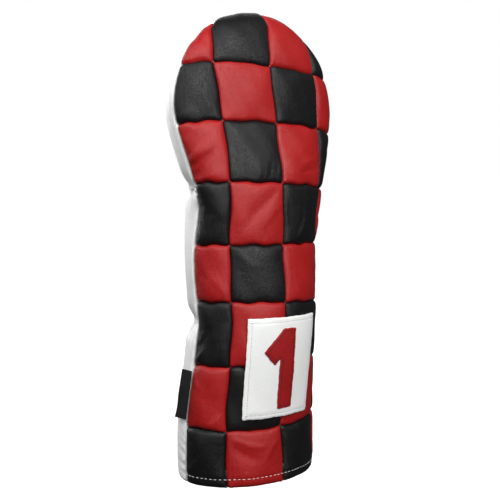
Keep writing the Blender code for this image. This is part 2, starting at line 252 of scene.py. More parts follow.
def row_seam(level, u):
    """The w of the seam that lies a number of rows above the hem."""
    if level == ROWS:
        return rim_over(u)
    if level == 0:
        return 0 * u
    bend = {ROWS - 2: -SHOULDER_SEAM_DROOP, ROWS - 1: CROWN_SEAM_RISE}.get(level, 0)
    left, middle, right = (MM * x for x in ROW_WANDER[level])
    wander = middle + (right - left) / 2 * u + ((left + right) / 2 - middle) * u * u
    wander = wander + 0.0004 * np.sin(17 * u + 1.7 * level) + 0.0003 * np.sin(29 * u + 0.9 * level)
    return level * ROW_PITCH + bend * u * u + wander


def column_seam(index, row, w):
    """The u of a column seam, counted from 0 at the left side seam."""
    middle = COLUMNS // 2
    if index in (0, COLUMNS):
        edge = CROWN_TIP + 0 * w if row == 1 else rim_across(w)
        return -edge if index == 0 else edge
    pitch = np.interp(w, ARC_W, COLUMN_U)
    wander = MM * np.interp(w / ROW_PITCH, range(ROWS + 1), COLUMN_WANDER[index])
    wander = wander + 0.0005 * np.sin(w / 0.0063 + 2.4 * index)
    u = (index - middle) * pitch + wander / COLUMN_PITCH * pitch
    if index < middle:
        u = u - CROWN_SPREAD * np.clip((w - 6 * ROW_PITCH) / ROW_PITCH, 0, 1)
    return u


def square_place(row, column):
    """The map from a square's own s and t, 0 to 1 across and up, to u and w."""
    level = ROWS - row

    def place(s, t):
        s, t = np.broadcast_arrays(np.asarray(s, float), np.asarray(t, float))
        w = (level + t) * ROW_PITCH
        u = 0 * w
        for _ in range(6):
            u = mix(column_seam(column - 1, row, w), column_seam(column, row, w), s)
            w = mix(row_seam(level, u), row_seam(level + 1, u), t)
        return u, w

    return place


def panel_place(start=0.0):
    """The map from s and t to u and w over a whole panel, above a starting height."""
    def place(s, t):
        u = -RIM * np.cos(math.pi * np.asarray(s, float))
        return u, mix(start, rim_over(u), t)

    return place


def pinch(points, u, w):
    """Points moved towards the middle, where elastic draws the side seams in."""
    near_seam = np.abs(u) ** 6
    inwards = sum(distance * hump(w, height, reach) for height, reach, distance in SEAM_PINCHES)
    moved = points.copy()
    moved[..., 0] -= np.sign(u) * near_seam * inwards
    return moved


def drawn_in(points, u, w):
    """Points of the back, pinched and drawn into the channels over the elastics."""
    moved = pinch(points, u, w)
    depth = sum(distance * hump(w, ELASTICS[name], reach)
                for name, (distance, reach) in CHANNELS.items())
    return moved - outward(BACK, u, w) * (depth * (1 - np.abs(u) ** 16))[..., None]


def outward(side, u, w):
    """Unit vectors out of the leather."""
    return unit(skin(side, u, w, -0.001) - skin(side, u, w, 0.0))


# ---- camera, light and floor

def show(made):
    bpy.context.scene.collection.objects.link(made)


CAMERA_AZIMUTH = math.radians(36.7)    # round to the object's left of the front panel
CAMERA_DISTANCE = 0.6
CAMERA_HEIGHT = 0.193
CAMERA_TILT = math.radians(3.03)       # downwards
CAMERA_ASIDE = -0.0011
CAMERA_TARGET_Y = -0.0017
CAMERA_LENS = 59.9
LIGHT_TARGET = (0, 0, 0.21)            # the neck of the cover


def make_camera():
    to_camera = Vector((-math.sin(CAMERA_AZIMUTH), -math.cos(CAMERA_AZIMUTH), 0))
    right = Vector((math.cos(CAMERA_AZIMUTH), -math.sin(CAMERA_AZIMUTH), 0))
    data = bpy.data.cameras.new("camera")
    data.lens = CAMERA_LENS
    data.sensor_width = 36
    data.clip_start = 0.01
    data.dof.use_dof = False
    camera = bpy.data.objects.new("camera", data)
    middle = Vector((0, CAMERA_TARGET_Y, CAMERA_HEIGHT))
    camera.location = middle + to_camera * CAMERA_DISTANCE + right * CAMERA_ASIDE
    camera.rotation_euler = (math.pi / 2 - CAMERA_TILT, 0, -CAMERA_AZIMUTH)
    show(camera)
    bpy.context.scene.camera = camera


def area_light(name, azimuth, elevation, distance, size, power):
    """A square soft light that looks at its target. Azimuth 0 is in front of the cover."""
    a, e = math.radians(azimuth), math.radians(elevation)
    way = Vector((math.sin(a) * math.cos(e), -math.cos(a) * math.cos(e), math.sin(e)))
    data = bpy.data.lights.new(name, "AREA")
    data.shape = "SQUARE"
    data.size = size
    data.energy = power
    light = bpy.data.objects.new(name, data)
    light.location = Vector(LIGHT_TARGET) + way * distance
    light.rotation_euler = way.to_track_quat("Z", "Y").to_euler()
    show(light)


def make_studio():
    world = bpy.data.worlds.new("studio")
    world.use_nodes = True
    tree = world.node_tree
    tree.nodes.clear()
    out = tree.nodes.new("ShaderNodeOutputWorld")
    path = tree.nodes.new("ShaderNodeLightPath")
    choose = tree.nodes.new("ShaderNodeMixShader")
    tree.links.new(path.outputs["Is Camera Ray"], choose.inputs[0])
    # A faint light on the cover, and white where the camera looks past it.
    for socket, colour, strength in ((1, (0.95, 0.97, 1, 1), 0.07), (2, (1, 1, 1, 1), 1.0)):
        background = tree.nodes.new("ShaderNodeBackground")
        background.inputs["Color"].default_value = colour
        background.inputs["Strength"].default_value = strength
        tree.links.new(background.outputs[0], choose.inputs[socket])
    tree.links.new(choose.outputs[0], out.inputs["Surface"])
    bpy.context.scene.world = world
    bpy.context.scene.view_settings.view_transform = "Standard"

    area_light("key", -10, 28, 0.85, 0.6, 10.9)
    area_light("side", -80, 36, 0.95, 0.6, 6.0)
    area_light("left", -170, 20, 1.2, 0.8, 13)
    area_light("right", 75, 40, 1.7, 0.5, 0.5)
    area_light("behind", 150, 35, 1.6, 1.0, 7)

    n = Nodes("floor_white")
    n.set(Base_Color=(0.35, 0.35, 0.35, 1), Roughness=0.9, Specular_IOR_Level=0.0,
          Emission_Color=(1, 1, 1, 1), Emission_Strength=1.0)
    corners = [(-4, -4, 0), (4, -4, 0), (4, 4, 0), (-4, 4, 0)]
    floor = add_mesh("floor", corners, [(0, 1, 2, 3)], n.material)
    floor.visible_diffuse = False
    floor.visible_glossy = False


# ---- materials


class Nodes:
    """Short calls for building one material's node tree."""

    def __init__(self, name):
        self.material = bpy.data.materials.new(name)
        self.material.use_nodes = True
        self.tree = self.material.node_tree
        self.shader = self.tree.nodes["Principled BSDF"]
        self.place = self.add("TexCoord").outputs["Object"]

    def add(self, kind, **values):
        """A new node, with some of its inputs set."""
        node = self.tree.nodes.new("ShaderNode" + kind)
        for name, value in values.items():
            node.inputs[name].default_value = value
        return node

    def link(self, a, b):
        self.tree.links.new(a, b)

    def vector_math(self, operation, a):
        node = self.add("VectorMath")
        node.operation = operation
        self.link(a, node.inputs[0])
        return node

    def math(self, operation, a, b=0.0, c=0.0):
        node = self.add("Math")
        node.operation = operation
        for socket, value in zip(node.inputs, (a, b, c)):
            if isinstance(value, (int, float)):
                socket.default_value = value
            else:
                self.link(value, socket)
        return node.outputs[0]

    def noise(self, scale, detail=3.0, roughness=0.5, distortion=0.0):
        node = self.add("TexNoise", Scale=scale, Detail=detail, Roughness=roughness,
                        Distortion=distortion)
        self.link(self.place, node.inputs["Vector"])
        return node.outputs["Fac"]

    def cells(self, scale, where):
        """Distance to the nearest edge between cells."""
        node = self.add("TexVoronoi", Scale=scale)
        node.feature = "DISTANCE_TO_EDGE"
        self.link(where, node.inputs["Vector"])
        return node.outputs["Distance"]

    def warped(self, amount, scale):
        """The place, pushed about by a coarse noise, so that cells aren't regular."""
        coarse = self.add("TexNoise", Scale=scale)
        self.link(self.place, coarse.inputs["Vector"])
        centred = self.vector_math("SUBTRACT", coarse.outputs["Color"])
        centred.inputs[1].default_value = (0.5, 0.5, 0.5)
        scaled = self.vector_math("SCALE", centred.outputs[0])
        scaled.inputs["Scale"].default_value = amount
        added = self.vector_math("ADD", self.place)
        self.link(scaled.outputs[0], added.inputs[1])
        return added.outputs[0]

    def ramp(self, fac, low, high, dark, light):
        """A colour between dark and light, as fac goes from low to high."""
        node = self.add("ValToRGB")
        for element, place, colour in zip(node.color_ramp.elements, (low, high), (dark, light)):
            element.position = place
            element.color = (*colour, 1)
        self.link(fac, node.inputs["Fac"])
        return node.outputs["Color"]

    def span(self, fac, low, high):
        """fac, 0 to 1, as a value from low to high."""
        return self.math("MULTIPLY_ADD", fac, high - low, low)

    def bump(self, height, distance, strength=1.0, below=None):
        node = self.add("Bump", Strength=strength, Distance=distance)
        self.link(height, node.inputs["Height"])
        if below is not None:
            self.link(below, node.inputs["Normal"])
        return node.outputs["Normal"]

    def set(self, **inputs):
        """Sets inputs of the shader, named with _ for a space."""
        for name, value in inputs.items():
            self.shader.inputs[name.replace("_", " ")].default_value = value

    def surface(self, colour, roughness, normal, **inputs):
        """The finished material: linked colour, roughness and normal, and other inputs."""
        self.link(colour, self.shader.inputs["Base Color"])
        self.link(roughness, self.shader.inputs["Roughness"])
        self.link(normal, self.shader.inputs["Normal"])
        self.set(**inputs)
        return self.material


def leather(name, dark, light, roughness=(0.4, 0.52), grain=1.0, specular=0.5, crease_shade=0.6):
    """Full-grain leather: pebbles with fine creases between them, over soft unevenness, and painted
    shade that darkens the colour in the creases.
    """
    n = Nodes(name)
    warped = n.warped(0.0016, 330)
    pebbles = n.math("MINIMUM", n.math("MULTIPLY", n.cells(1250, warped), 2.4), 1.0)
    fine = n.noise(1500, 3, 0.65)
    tone = n.math("MULTIPLY_ADD", n.noise(38, 4, 0.6), 0.6, n.math("MULTIPLY", fine, 0.4))
    colour = n.ramp(tone, 0.35, 0.65, dark, light)
    # Painted shade: a darker copy of the colour fills the creases between the pebbles and fades out
    # over each pebble.
    shade_in_creases = tuple(crease_shade * c for c in dark)
    colour_shaded_in_creases = n.add("Mix")
    colour_shaded_in_creases.data_type = "RGBA"
    n.link(n.math("POWER", pebbles, 0.5), colour_shaded_in_creases.inputs["Factor"])
    colour_shaded_in_creases.inputs["A"].default_value = (*shade_in_creases, 1)
    n.link(colour, colour_shaded_in_creases.inputs["B"])
    soft = n.bump(n.noise(230, 3, 0.6), 0.0005 * grain, 0.2)
    grained = n.bump(pebbles, 0.00016 * grain, 0.7, soft)
    return n.surface(colour_shaded_in_creases.outputs["Result"], n.span(n.noise(600, 3, 0.6), *roughness),
                     n.bump(fine, 0.00013 * grain, 0.6, grained), Specular_IOR_Level=specular)


def thread(name, dark, light):
    """Twisted thread, with its strands running round it."""
    n = Nodes(name)
    strands = n.noise(1800, 2, 0.5)
    return n.surface(n.ramp(strands, 0.3, 0.7, dark, light), n.span(n.noise(400, 2), 0.55, 0.8),
                     n.bump(strands, 0.00015, 0.6), Specular_IOR_Level=0.25, Sheen_Weight=0.05)


def ribbon(name, dark, light, pitch):
    """Plain woven ribbon or webbing: two crossed sets of fine ribs."""
    n = Nodes(name)
    split = n.add("SeparateXYZ")
    n.link(n.place, split.inputs[0])
    turns = math.tau / pitch
    along = n.math("SINE", n.math("MULTIPLY", split.outputs["Z"], turns))
    across = n.math("SINE", n.math("MULTIPLY", split.outputs["Y"], turns))
    weave = n.math("MULTIPLY_ADD", n.math("MULTIPLY", along, across), 0.5, 0.5)
    return n.surface(n.ramp(weave, 0.1, 0.9, dark, light), n.span(n.noise(300, 2), 0.65, 0.85),
                     n.bump(weave, 0.0001, 0.6), Specular_IOR_Level=0.25)


def fleece(name, dark, light):
    """Short curled pile."""
    n = Nodes(name)
    curls = n.noise(420, 5, 0.7, 1.5)
    return n.surface(n.ramp(curls, 0.3, 0.75, dark, light), n.span(n.noise(200, 2), 0.85, 1.0),
                     n.bump(curls, 0.0015, 0.9), Sheen_Weight=0.6)


RED = leather("red_leather", (0.34, 0.006, 0.006), (0.43, 0.011, 0.011), (0.36, 0.5), 1.0, 0.33)
BLACK = leather("black_leather", (0.003, 0.003, 0.0036), (0.006, 0.006, 0.007), (0.36, 0.5),
                1.0, 0.3)
WHITE = leather("white_leather", (0.86, 0.865, 0.85), (0.93, 0.935, 0.92), (0.45, 0.6), 1.1,
                crease_shade=0.8)
PATCH_WHITE = leather("patch_leather", (0.8, 0.81, 0.79), (0.88, 0.885, 0.87), (0.45, 0.6),
                      0.9, crease_shade=0.85)
NUMERAL_RED = leather("numeral_leather", (0.3, 0.005, 0.006), (0.42, 0.01, 0.011),
                      (0.5, 0.62), 0.8, 0.3)
WHITE_THREAD = thread("white_thread", (0.66, 0.65, 0.6), (0.92, 0.91, 0.88))
GREY_THREAD = thread("grey_thread", (0.22, 0.23, 0.24), (0.48, 0.49, 0.5))
DARK_THREAD = thread("dark_thread", (0.004, 0.0015, 0.002), (0.018, 0.004, 0.005))
RIBBON = ribbon("label_ribbon", (0.001, 0.001, 0.0013), (0.006, 0.006, 0.0068), 0.0009)
ELASTIC = ribbon("elastic_webbing", (0.55, 0.55, 0.53), (0.82, 0.82, 0.8), 0.0014)
FLEECE = fleece("grey_fleece", (0.16, 0.165, 0.17), (0.4, 0.41, 0.42))

# ---- mesh helpers


def add_mesh(name, points, faces, material):
    mesh = bpy.data.meshes.new(name)
    mesh.from_pydata(np.asarray(points, float).reshape(-1, 3).tolist(), [], faces)
    mesh.materials.append(material)
    mesh.shade_smooth()
    made = bpy.data.objects.new(name, mesh)
    show(made)
    return made


def grid_faces(across, up, offset=0, flip=False):
    """Quads of a grid of points, by rows."""
    faces = []
    for j in range(up):
        for i in range(across):
            a = offset + j * (across + 1) + i
            quad = (a, a + 1, a + across + 2, a + across + 1)
            faces.append(quad[::-1] if flip else quad)
    return faces


def add_shell(name, outer, inner, flip, material):
    """A closed piece from an outer and an inner grid of points, joined round their rim."""
    up, across = outer.shape[0] - 1, outer.shape[1] - 1
    row = across + 1
    shift = row * (up + 1)
    rim = list(range(across)) + [j * row + across for j in range(up)]
    rim += [up * row + i for i in range(across, 0, -1)] + [j * row for j in range(up, 0, -1)]
    faces = grid_faces(across, up, 0, flip) + grid_faces(across, up, shift, not flip)
    faces += [(a, b, b + shift, a + shift) for a, b in zip(rim, rim[1:] + rim[:1])]
    points = np.concatenate([outer.reshape(-1, 3), inner.reshape(-1, 3)])
    made = add_mesh(name, points, faces, material)
    tidy_normals(made)
    return made


def tidy_normals(piece):
    work = bmesh.new()
    work.from_mesh(piece.data)
    bmesh.ops.recalc_face_normals(work, faces=work.faces[:])
    work.to_mesh(piece.data)
    work.free()
    piece.data.set_sharp_from_angle(angle=math.radians(55))


def add_leather(name, points, flip, material):
    """A grid of points as a skin with its leather's thickness, inwards."""
    faces = grid_faces(points.shape[1] - 1, points.shape[0] - 1, flip=flip)
    piece = add_mesh(name, points, faces, material)
    solid = piece.modifiers.new("thickness", "SOLIDIFY")
    solid.thickness = LEATHER
    solid.offset = -1
    graph = bpy.context.evaluated_depsgraph_get()
    mesh = bpy.data.meshes.new_from_object(piece.evaluated_get(graph))
    piece.modifiers.clear()
    piece.data = mesh
    piece.data.shade_smooth()
    return piece


def finish_piece(piece, node, body="root"):
    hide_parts(node)
    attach(piece, body)


# ---- leather: swelling and edges

SIM_CELLS = 16           # simulated cells along each side of a square
SIM_FRAMES = 16
PRESSURE = 20000         # in the solver's units, where a small mesh needs a large number
SQUARE_FULLNESS = 1.025
SQUARE_CELL = 0.001     # finished cells in the middle of a square
SEAM_WIDTH = 0.0025      # over which the leather rolls down into a seam
SEAM_DROP = 0.0019       # how far it rolls down
SEAM_WALL = 0.0022       # how far the turned edge goes down
SEAM_SINK = 0.0014       # how far the seams lie below the sleeve's surface
LEATHER = 0.001         # its thickness
PUFF = 0.002            # how far a square swells
HEM_RADIUS = 0.0011
HEM_TURNED_UP = (0.012, 0.006)       # heights of the rows of points inside the mouth
HEM_STITCH_HEIGHT = 0.006
STITCH_DENT = 0.0003
STITCH_DENT_REACH = 0.0013


def fine_lines(length, coarse):
    """Places from 0 to 1 along an edge, crowded at both ends where the leather folds."""
    near = np.array([0, 0.05, 0.16, 0.34, 0.6, 0.95, 1.35, 1.85, 2.5]) * MM / length
    middle = max(2, round((length - 2 * SEAM_WIDTH) / coarse))
    inner = np.linspace(near[-1], 1 - near[-1], middle + 1)
    return np.concatenate([near[:-1], inner, 1 - near[-2::-1]])


def seam_drop(ds, dt):
    """How far leather has rolled down at distances ds and dt from its seams."""
    a = np.clip(1 - ds / SEAM_WIDTH, 0, 1)
    b = np.clip(1 - dt / SEAM_WIDTH, 0, 1)
    r = np.clip(np.hypot(a, b), 0, 1)
    return SEAM_DROP * (1 - np.sqrt(1 - r * r))


def plain_swell(s, t):
    """Outward swelling over a square or panel, with no simulation."""
    return PUFF * ((1 - (2 * s - 1) ** 4) * (1 - (2 * t - 1) ** 4)) ** 0.8


def simulate(start, faces, pinned, fullness):
    """The points of leather blown out from its pinned points.

    fullness is the length of the leather over the length of the space it is sewn into.
    """
    mesh = bpy.data.meshes.new("swelling")
    mesh.from_pydata(start.tolist(), [], faces)
    cloth = bpy.data.objects.new("swelling", mesh)
    show(cloth)
    group = cloth.vertex_groups.new(name="pinned")
    group.add([int(i) for i in pinned], 1.0, "REPLACE")
    modifier = cloth.modifiers.new("cloth", "CLOTH")
    settings = modifier.settings
    settings.quality = 6
    settings.mass = 0.01
    for kind, stiffness in (("tension", 40), ("compression", 40), ("shear", 20)):
        setattr(settings, kind + "_stiffness", stiffness)
        setattr(settings, kind + "_damping", 12)
    settings.bending_stiffness = 0.5
    settings.air_damping = 3
    settings.vertex_group_mass = "pinned"
    settings.shrink_min = 1 - fullness
    settings.use_pressure = True
    settings.uniform_pressure_force = PRESSURE
    settings.effector_weights.gravity = 0
    modifier.point_cache.frame_start = 1
    modifier.point_cache.frame_end = SIM_FRAMES
    for number in range(1, SIM_FRAMES + 1):
        bpy.context.scene.frame_set(number)
    graph = bpy.context.evaluated_depsgraph_get()
    result = cloth.evaluated_get(graph).to_mesh()
    moved = np.empty(len(start) * 3)
    result.vertices.foreach_get("co", moved)
    cloth.modifiers.clear()
    bpy.data.objects.remove(cloth)
    bpy.context.scene.frame_set(1)
    return moved.reshape(-1, 3)


def evened(grid, rounds):
    """The grid's inner values smoothed, as thick leather takes no fine ripples."""
    grid = grid.copy()
    for _ in range(rounds):
        around = grid[:-2, 1:-1] + grid[2:, 1:-1] + grid[1:-1, :-2] + grid[1:-1, 2:]
        grid[1:-1, 1:-1] = grid[1:-1, 1:-1] / 2 + around / 8
    return grid


def swell_squares():
    """How far each square's leather moves from the sleeve's surface, on its own grid."""
    lines = np.linspace(0, 1, SIM_CELLS + 1)
    s, t = np.meshgrid(lines, lines)
    names = [(row, column) for row in range(1, ROWS + 1) for column in range(1, COLUMNS + 1)]
    places = {name: square_place(*name)(s, t) for name in names}
    plain = {name: outward(FRONT, *uw) * plain_swell(s, t)[..., None] for name, uw in places.items()}
    count = (SIM_CELLS + 1) ** 2
    on_edge = ((s == 0) | (s == 1) | (t == 0) | (t == 1)).ravel()
    start = np.concatenate([pinch(skin(FRONT, *places[name]), *places[name]).reshape(-1, 3)
                            for name in names])
    faces = []
    for k in range(len(names)):
        faces += grid_faces(SIM_CELLS, SIM_CELLS, k * count)
    pinned = np.flatnonzero(np.tile(on_edge, len(names)))
    pushes = simulate(start, faces, pinned, SQUARE_FULLNESS) - start
    swollen = {}
    for k, name in enumerate(names):
        push = evened(pushes[k * count:(k + 1) * count].reshape(s.shape + (3,)), 3)
        height = np.linalg.norm(push, axis=2).max()
        swollen[name] = 0.6 * push * PUFF / height + 0.4 * plain[name]
    return swollen


def cubic_weights(x, count):
    """Indices and weights of the four grid lines around x, for smooth interpolation."""
    k = np.clip((x * (count - 1)).astype(int), 0, count - 2)
    f = x * (count - 1) - k
    weights = np.stack([-f * (1 - f) ** 2 / 2, (2 - 5 * f * f + 3 * f ** 3) / 2,
                        f * (1 + 4 * f - 3 * f * f) / 2, -f * f * (1 - f) / 2])
    index = np.clip(np.stack([k - 1, k, k + 1, k + 2]), 0, count - 1)
    return index, weights


def resample(grid, s, t):
    """Grid values, up by across by channels, read smoothly at every t and s."""
    i, wi = cubic_weights(s, grid.shape[1])
    j, wj = cubic_weights(t, grid.shape[0])
    along = sum(grid[:, i[k]] * wi[k][None, :, None] for k in range(4))
    return sum(along[j[k]] * wj[k][:, None, None] for k in range(4))


# Folds drawn across some squares by the hand sewing: where each starts and ends across
# and up its square, its width in millimetres and its height, below 0 for a crease.
FOLDS = {
    (2, 1): ((0.1, 0.05, 0.55, 0.3, 4.0, 0.5), (0.85, 0.1, 0.6, 0.55, 3.5, 0.4)),
    (3, 1): ((0.02, 0.34, 0.8, 0.8, 4.4, 1.0), (0.02, 0.26, 0.85, 0.66, 3.2, -1.1),
             (0.02, 0.1, 0.7, 0.5, 3.6, -1.0), (0.1, 0.02, 0.85, 0.24, 4.0, 0.6)),
    (3, 2): ((0.5, 0.02, 0.46, 0.4, 2.2, 0.45), (0.66, 0.02, 0.72, 0.42, 2.4, -0.4),
             (0.85, 0.04, 0.9, 0.4, 2.4, 0.4)),
    (3, 3): ((0.3, 0.2, 0.95, 0.42, 2.4, -0.6), (0.35, 0.34, 0.95, 0.6, 2.6, 0.6)),
    (4, 2): ((0.98, 0.96, 0.18, 0.1, 5.0, -0.9), (0.98, 0.72, 0.42, 0.05, 5.0, 0.6)),
    (4, 3): ((0.25, 0.05, 0.45, 0.75, 3.0, 0.7), (0.6, 0.2, 0.7, 0.85, 2.4, -0.5)),
    (5, 1): ((0.95, 0.05, 0.45, 0.5, 4.0, 0.6), (0.05, 0.8, 0.6, 0.3, 5.0, -0.6)),
    (5, 2): ((0.15, 0.9, 0.6, 0.55, 3.4, 0.4),),
    (6, 1): ((0.02, 0.05, 0.45, 0.35, 2.6, 0.6), (0.05, 0.25, 0.5, 0.6, 2.8, -0.4)),
    (7, 1): ((0.05, 0.92, 0.5, 0.55, 3.0, 0.5), (0.6, 0.05, 0.95, 0.35, 2.6, 0.5)),
    (8, 1): ((0.02, 0.2, 0.5, 0.6, 3.2, 0.5),),
    (8, 2): ((0.05, 0.92, 0.8, 0.7, 3.0, 0.7), (0.05, 0.78, 0.7, 0.45, 3.4, -0.5),
             (0.95, 0.85, 0.62, 0.3, 2.8, 0.5)),
    (8, 3): ((0.05, 0.9, 0.35, 0.3, 3.2, 0.6),),
}


def fold_height(x, y, start, end, width, height):
    """A ridge from one place to another that fades out at both ends."""
    along = np.array(end) - np.array(start)
    length = np.linalg.norm(along)
    f = ((x - start[0]) * along[0] + (y - start[1]) * along[1]) / length ** 2
    bow = 0.08 * length * np.sin(np.clip(f, 0, 1) * math.pi)
    aside = ((x - start[0]) * along[1] - (y - start[1]) * along[0]) / length - bow
    sharp = np.where(aside > 0, width, 0.6 * width)
    return height * smooth(f / 0.25) * smooth((1 - f) / 0.45) * np.exp(-(aside / sharp) ** 2)


FAR = 1.0                # the hem has no seam below it, so it counts as this far off


def wrinkles(row, column, left, right, below, above):
    """How far a square stands out: unevenness, puckers at its seams, and folds."""
    seed = 7.3 * row + 3.1 * column
    x, y = left, below if row < ROWS else below - FAR
    soft = 0.0003 * np.sin(x / 0.0058 + seed) * np.sin(y / 0.0066 + 2 * seed)
    soft = soft + 0.00016 * np.sin((x + 0.7 * y) / 0.0034 + 1.3 * seed)
    beside = np.exp(-left / 0.0036) + np.exp(-right / 0.0036)
    over = np.exp(-np.abs(y) / 0.0036) + np.exp(-above / 0.0036)
    pucker = beside * np.sin(y / 0.00115 + seed + 1.6 * np.sin(y / 0.0041 + seed))
    pucker = pucker + over * np.sin(x / 0.00115 + 2 * seed + 1.6 * np.sin(x / 0.0043 + seed))
    height = soft * smooth(np.minimum(left, right) / 0.004) + 0.00006 * pucker
    width, length = (left + right).mean(), (y + above).mean()
    for s0, t0, s1, t1, fold_width, rise in FOLDS.get((row, column), ()):
        height = height + fold_height(x, y, (s0 * width, t0 * length), (s1 * width, t1 * length),
                                      fold_width * MM, rise * MM)
    return height


def make_square(row, column, pushes):
    """One leather square: swollen, folded into its seams, with its own wrinkles."""
    place = square_place(row, column)
    ends, middle = np.array([0, 1]), np.array([0.5, 0.5])
    s, t = (fine_lines(np.linalg.norm(np.diff(skin(FRONT, *place(*way)), axis=0)), SQUARE_CELL)
            for way in ((ends, middle), (middle, ends)))
    u, w = place(s[None, :], t[:, None])
    base = pinch(skin(FRONT, u, w), u, w)
    out = outward(FRONT, u, w)
    moved = base + resample(pushes, s, t) - out * SEAM_SINK
    left, right, below, above = edge_distances(base)
    dent = 0
    if row == ROWS:
        dent = STITCH_DENT * hump(below, HEM_STITCH_HEIGHT, STITCH_DENT_REACH)
        below = below + FAR
    drop = seam_drop(np.minimum(left, right), np.minimum(below, above)) + dent
    drop = drop - wrinkles(row, column, left, right, below, above)
    points = moved - out * drop[..., None]
    points = add_walls(points, out, hem=row == ROWS)
    node = f"check_r{row}_c{column}"
    finish = RED if (row + column) % 2 == 0 else BLACK
    square = add_leather(f"{node}_leather", points, False, finish)
    finish_piece(square, node)


def edge_distances(base):
    """Distances of a grid's points from its left, right, lower and upper edge."""
    edges = (base[:, :1], base[:, -1:], base[:1], base[-1:])
    return [np.linalg.norm(base - edge, axis=2) for edge in edges]


def add_walls(points, out, hem):
    """Adds the turned edges round a grid, and on the hem the fold that goes up inside."""
    down = -SEAM_WALL
    points = np.concatenate([points[:, :1] + out[:, :1] * down, points,
                             points[:, -1:] + out[:, -1:] * down], axis=1)
    out = np.concatenate([out[:, :1], out, out[:, -1:]], axis=1)
    points = np.concatenate([points, points[-1:] + out[-1:] * down], axis=0)
    if hem:
        rows = [points[:1] - out[:1] * 2 * HEM_RADIUS + np.array([0, 0, rise])
                for rise in HEM_TURNED_UP]
        for turn in np.linspace(0, math.pi, 7)[:0:-1]:
            shift = np.array([0, 0, HEM_RADIUS - HEM_RADIUS * math.sin(turn)])
            rows.append(points[:1] - out[:1] * HEM_RADIUS * (1 - math.cos(turn)) + shift)
        points = np.concatenate([*rows, points], axis=0)
        points[len(rows):, :, 2] = np.maximum(points[len(rows):, :, 2], HEM_RADIUS)
    else:
        points = np.concatenate([points[:1] + out[:1] * down, points], axis=0)
    return points


def make_squares():
    for (row, column), pushes in swell_squares().items():
        make_square(row, column, pushes)


# ---- white back panel

BACK_CELLS = (110, 96)
BACK_FULLNESS = 1.02
BACK_ARC = (0.14, 0.37)      # about its finished size, for the mesh
BACK_CELL = (0.0011, 0.0019)
BACK_PUFF = 0.0009
PINNED_REACH = 0.002        # to either side of an elastic's line
PLEAT_PITCH = 0.008
PLEAT_HEIGHT = 0.001
PLEAT_REACH = 0.012


def pleats(u, w, seed):
    """-1 to 1 across the gathers at an elastic, with no two alike."""
    across = np.arcsin(np.clip(u, -1, 1)) * 0.05
    wander = 0.9 * np.sin(across / 0.011 + 2 * seed) + 0.5 * np.sin(across / 0.0047 + seed)
    lean = 0.35 * np.sin(across / 0.008 + seed) * (w - list(ELASTICS.values())[seed]) / 0.01
    return np.sin(math.tau * across / PLEAT_PITCH + wander + lean)


def swell_back():
    """The back panel's leather on its simulation grid, gathered by the two elastics."""
    s, t = np.meshgrid(np.linspace(0, 1, BACK_CELLS[0] + 1), np.linspace(0, 1, BACK_CELLS[1] + 1))
    u, w = panel_place()(s, t)
    out = outward(BACK, u, w)
    base = drawn_in(skin(BACK, u, w), u, w)
    inside = 1 - np.abs(u) ** 14
    pinned = (s == 0) | (s == 1) | (t == 0) | (t == 1)
    gathers = 0 * w
    for k, height in enumerate(ELASTICS.values()):
        gathers = gathers + PLEAT_HEIGHT * inside * pleats(u, w, k) * hump(w, height, PLEAT_REACH)
        pinned |= np.abs(w - height) < PINNED_REACH
    start = base + out * gathers[..., None]
    faces = grid_faces(*BACK_CELLS, flip=True)
    push = simulate(start.reshape(-1, 3), faces, np.flatnonzero(pinned.ravel()), BACK_FULLNESS)
    push = push.reshape(start.shape) - start
    height = np.linalg.norm(push, axis=2, keepdims=True)
    return start + push * np.minimum(1, 2 * BACK_PUFF / np.maximum(height + BACK_PUFF, 1e-9))


def make_back_panel():
    surface = swell_back()
    s, t = (fine_lines(length, cell) for length, cell in zip(BACK_ARC, BACK_CELL))
    u, w = panel_place()(s[None, :], t[:, None])
    out = outward(BACK, u, w)
    points = resample(surface, s, t)
    left, right, _, top = edge_distances(skin(BACK, u, w))
    dents = STITCH_DENT * hump(w, HEM_STITCH_HEIGHT, STITCH_DENT_REACH)
    points = points - out * (seam_drop(np.minimum(left, right), top) + SEAM_SINK + dents)[..., None]
    points = add_walls(points, out, hem=True)
    panel = add_leather("back_panel_leather", points, True, WHITE)
    finish_piece(panel, "back_panel")


# ---- patch and numeral

PATCH_BOTTOM = 0.047
PATCH_TOP = 0.117
PATCH_LEFT = -0.0295
PATCH_RIGHT_BOTTOM = 0.0253
PATCH_RIGHT_TOP = 0.0301
PATCH_LIFT = 0.0008      # from the sleeve's surface to the patch's back
PATCH_THICKNESS = 0.0011
PATCH_STITCH_INSET = 0.003
PATCH_CORNER = 0.001
NUMERAL_BOTTOM = 0.053
NUMERAL_TOP = 0.1093
NUMERAL_STEM = (-0.0048, 0.0072)
NUMERAL_FLAG_TIP = (-0.0172, 0.0935)
NUMERAL_FLAG_HEEL = (-0.0085, 0.0842)
NUMERAL_FLAG_ROOT = 0.0885
NUMERAL_THICKNESS = 0.0009
NUMERAL_STITCH_INSET = 0.0018
NUMERAL_CORNER = 0.0006
NUMERAL_TOP_SLOPE = 0.0015    # how far the upright's top is cut back
APPLIQUE_CELL = 0.0009


def patch_outline():
    corners = [(PATCH_LEFT, PATCH_BOTTOM), (PATCH_RIGHT_BOTTOM, PATCH_BOTTOM),
               (PATCH_RIGHT_TOP, PATCH_TOP), (PATCH_LEFT, PATCH_TOP)]
    return wavy(round_corners(corners, PATCH_CORNER), 0.0026, 0.00009, 3)


def numeral_outline():
    left, right = NUMERAL_STEM
    corners = [(left, NUMERAL_BOTTOM), (right, NUMERAL_BOTTOM), (right, NUMERAL_TOP),
               (left + NUMERAL_TOP_SLOPE, NUMERAL_TOP), NUMERAL_FLAG_TIP, NUMERAL_FLAG_HEEL,
               (left, NUMERAL_FLAG_ROOT)]
    return wavy(round_corners(corners, NUMERAL_CORNER), 0.0024, 0.00011, 8)


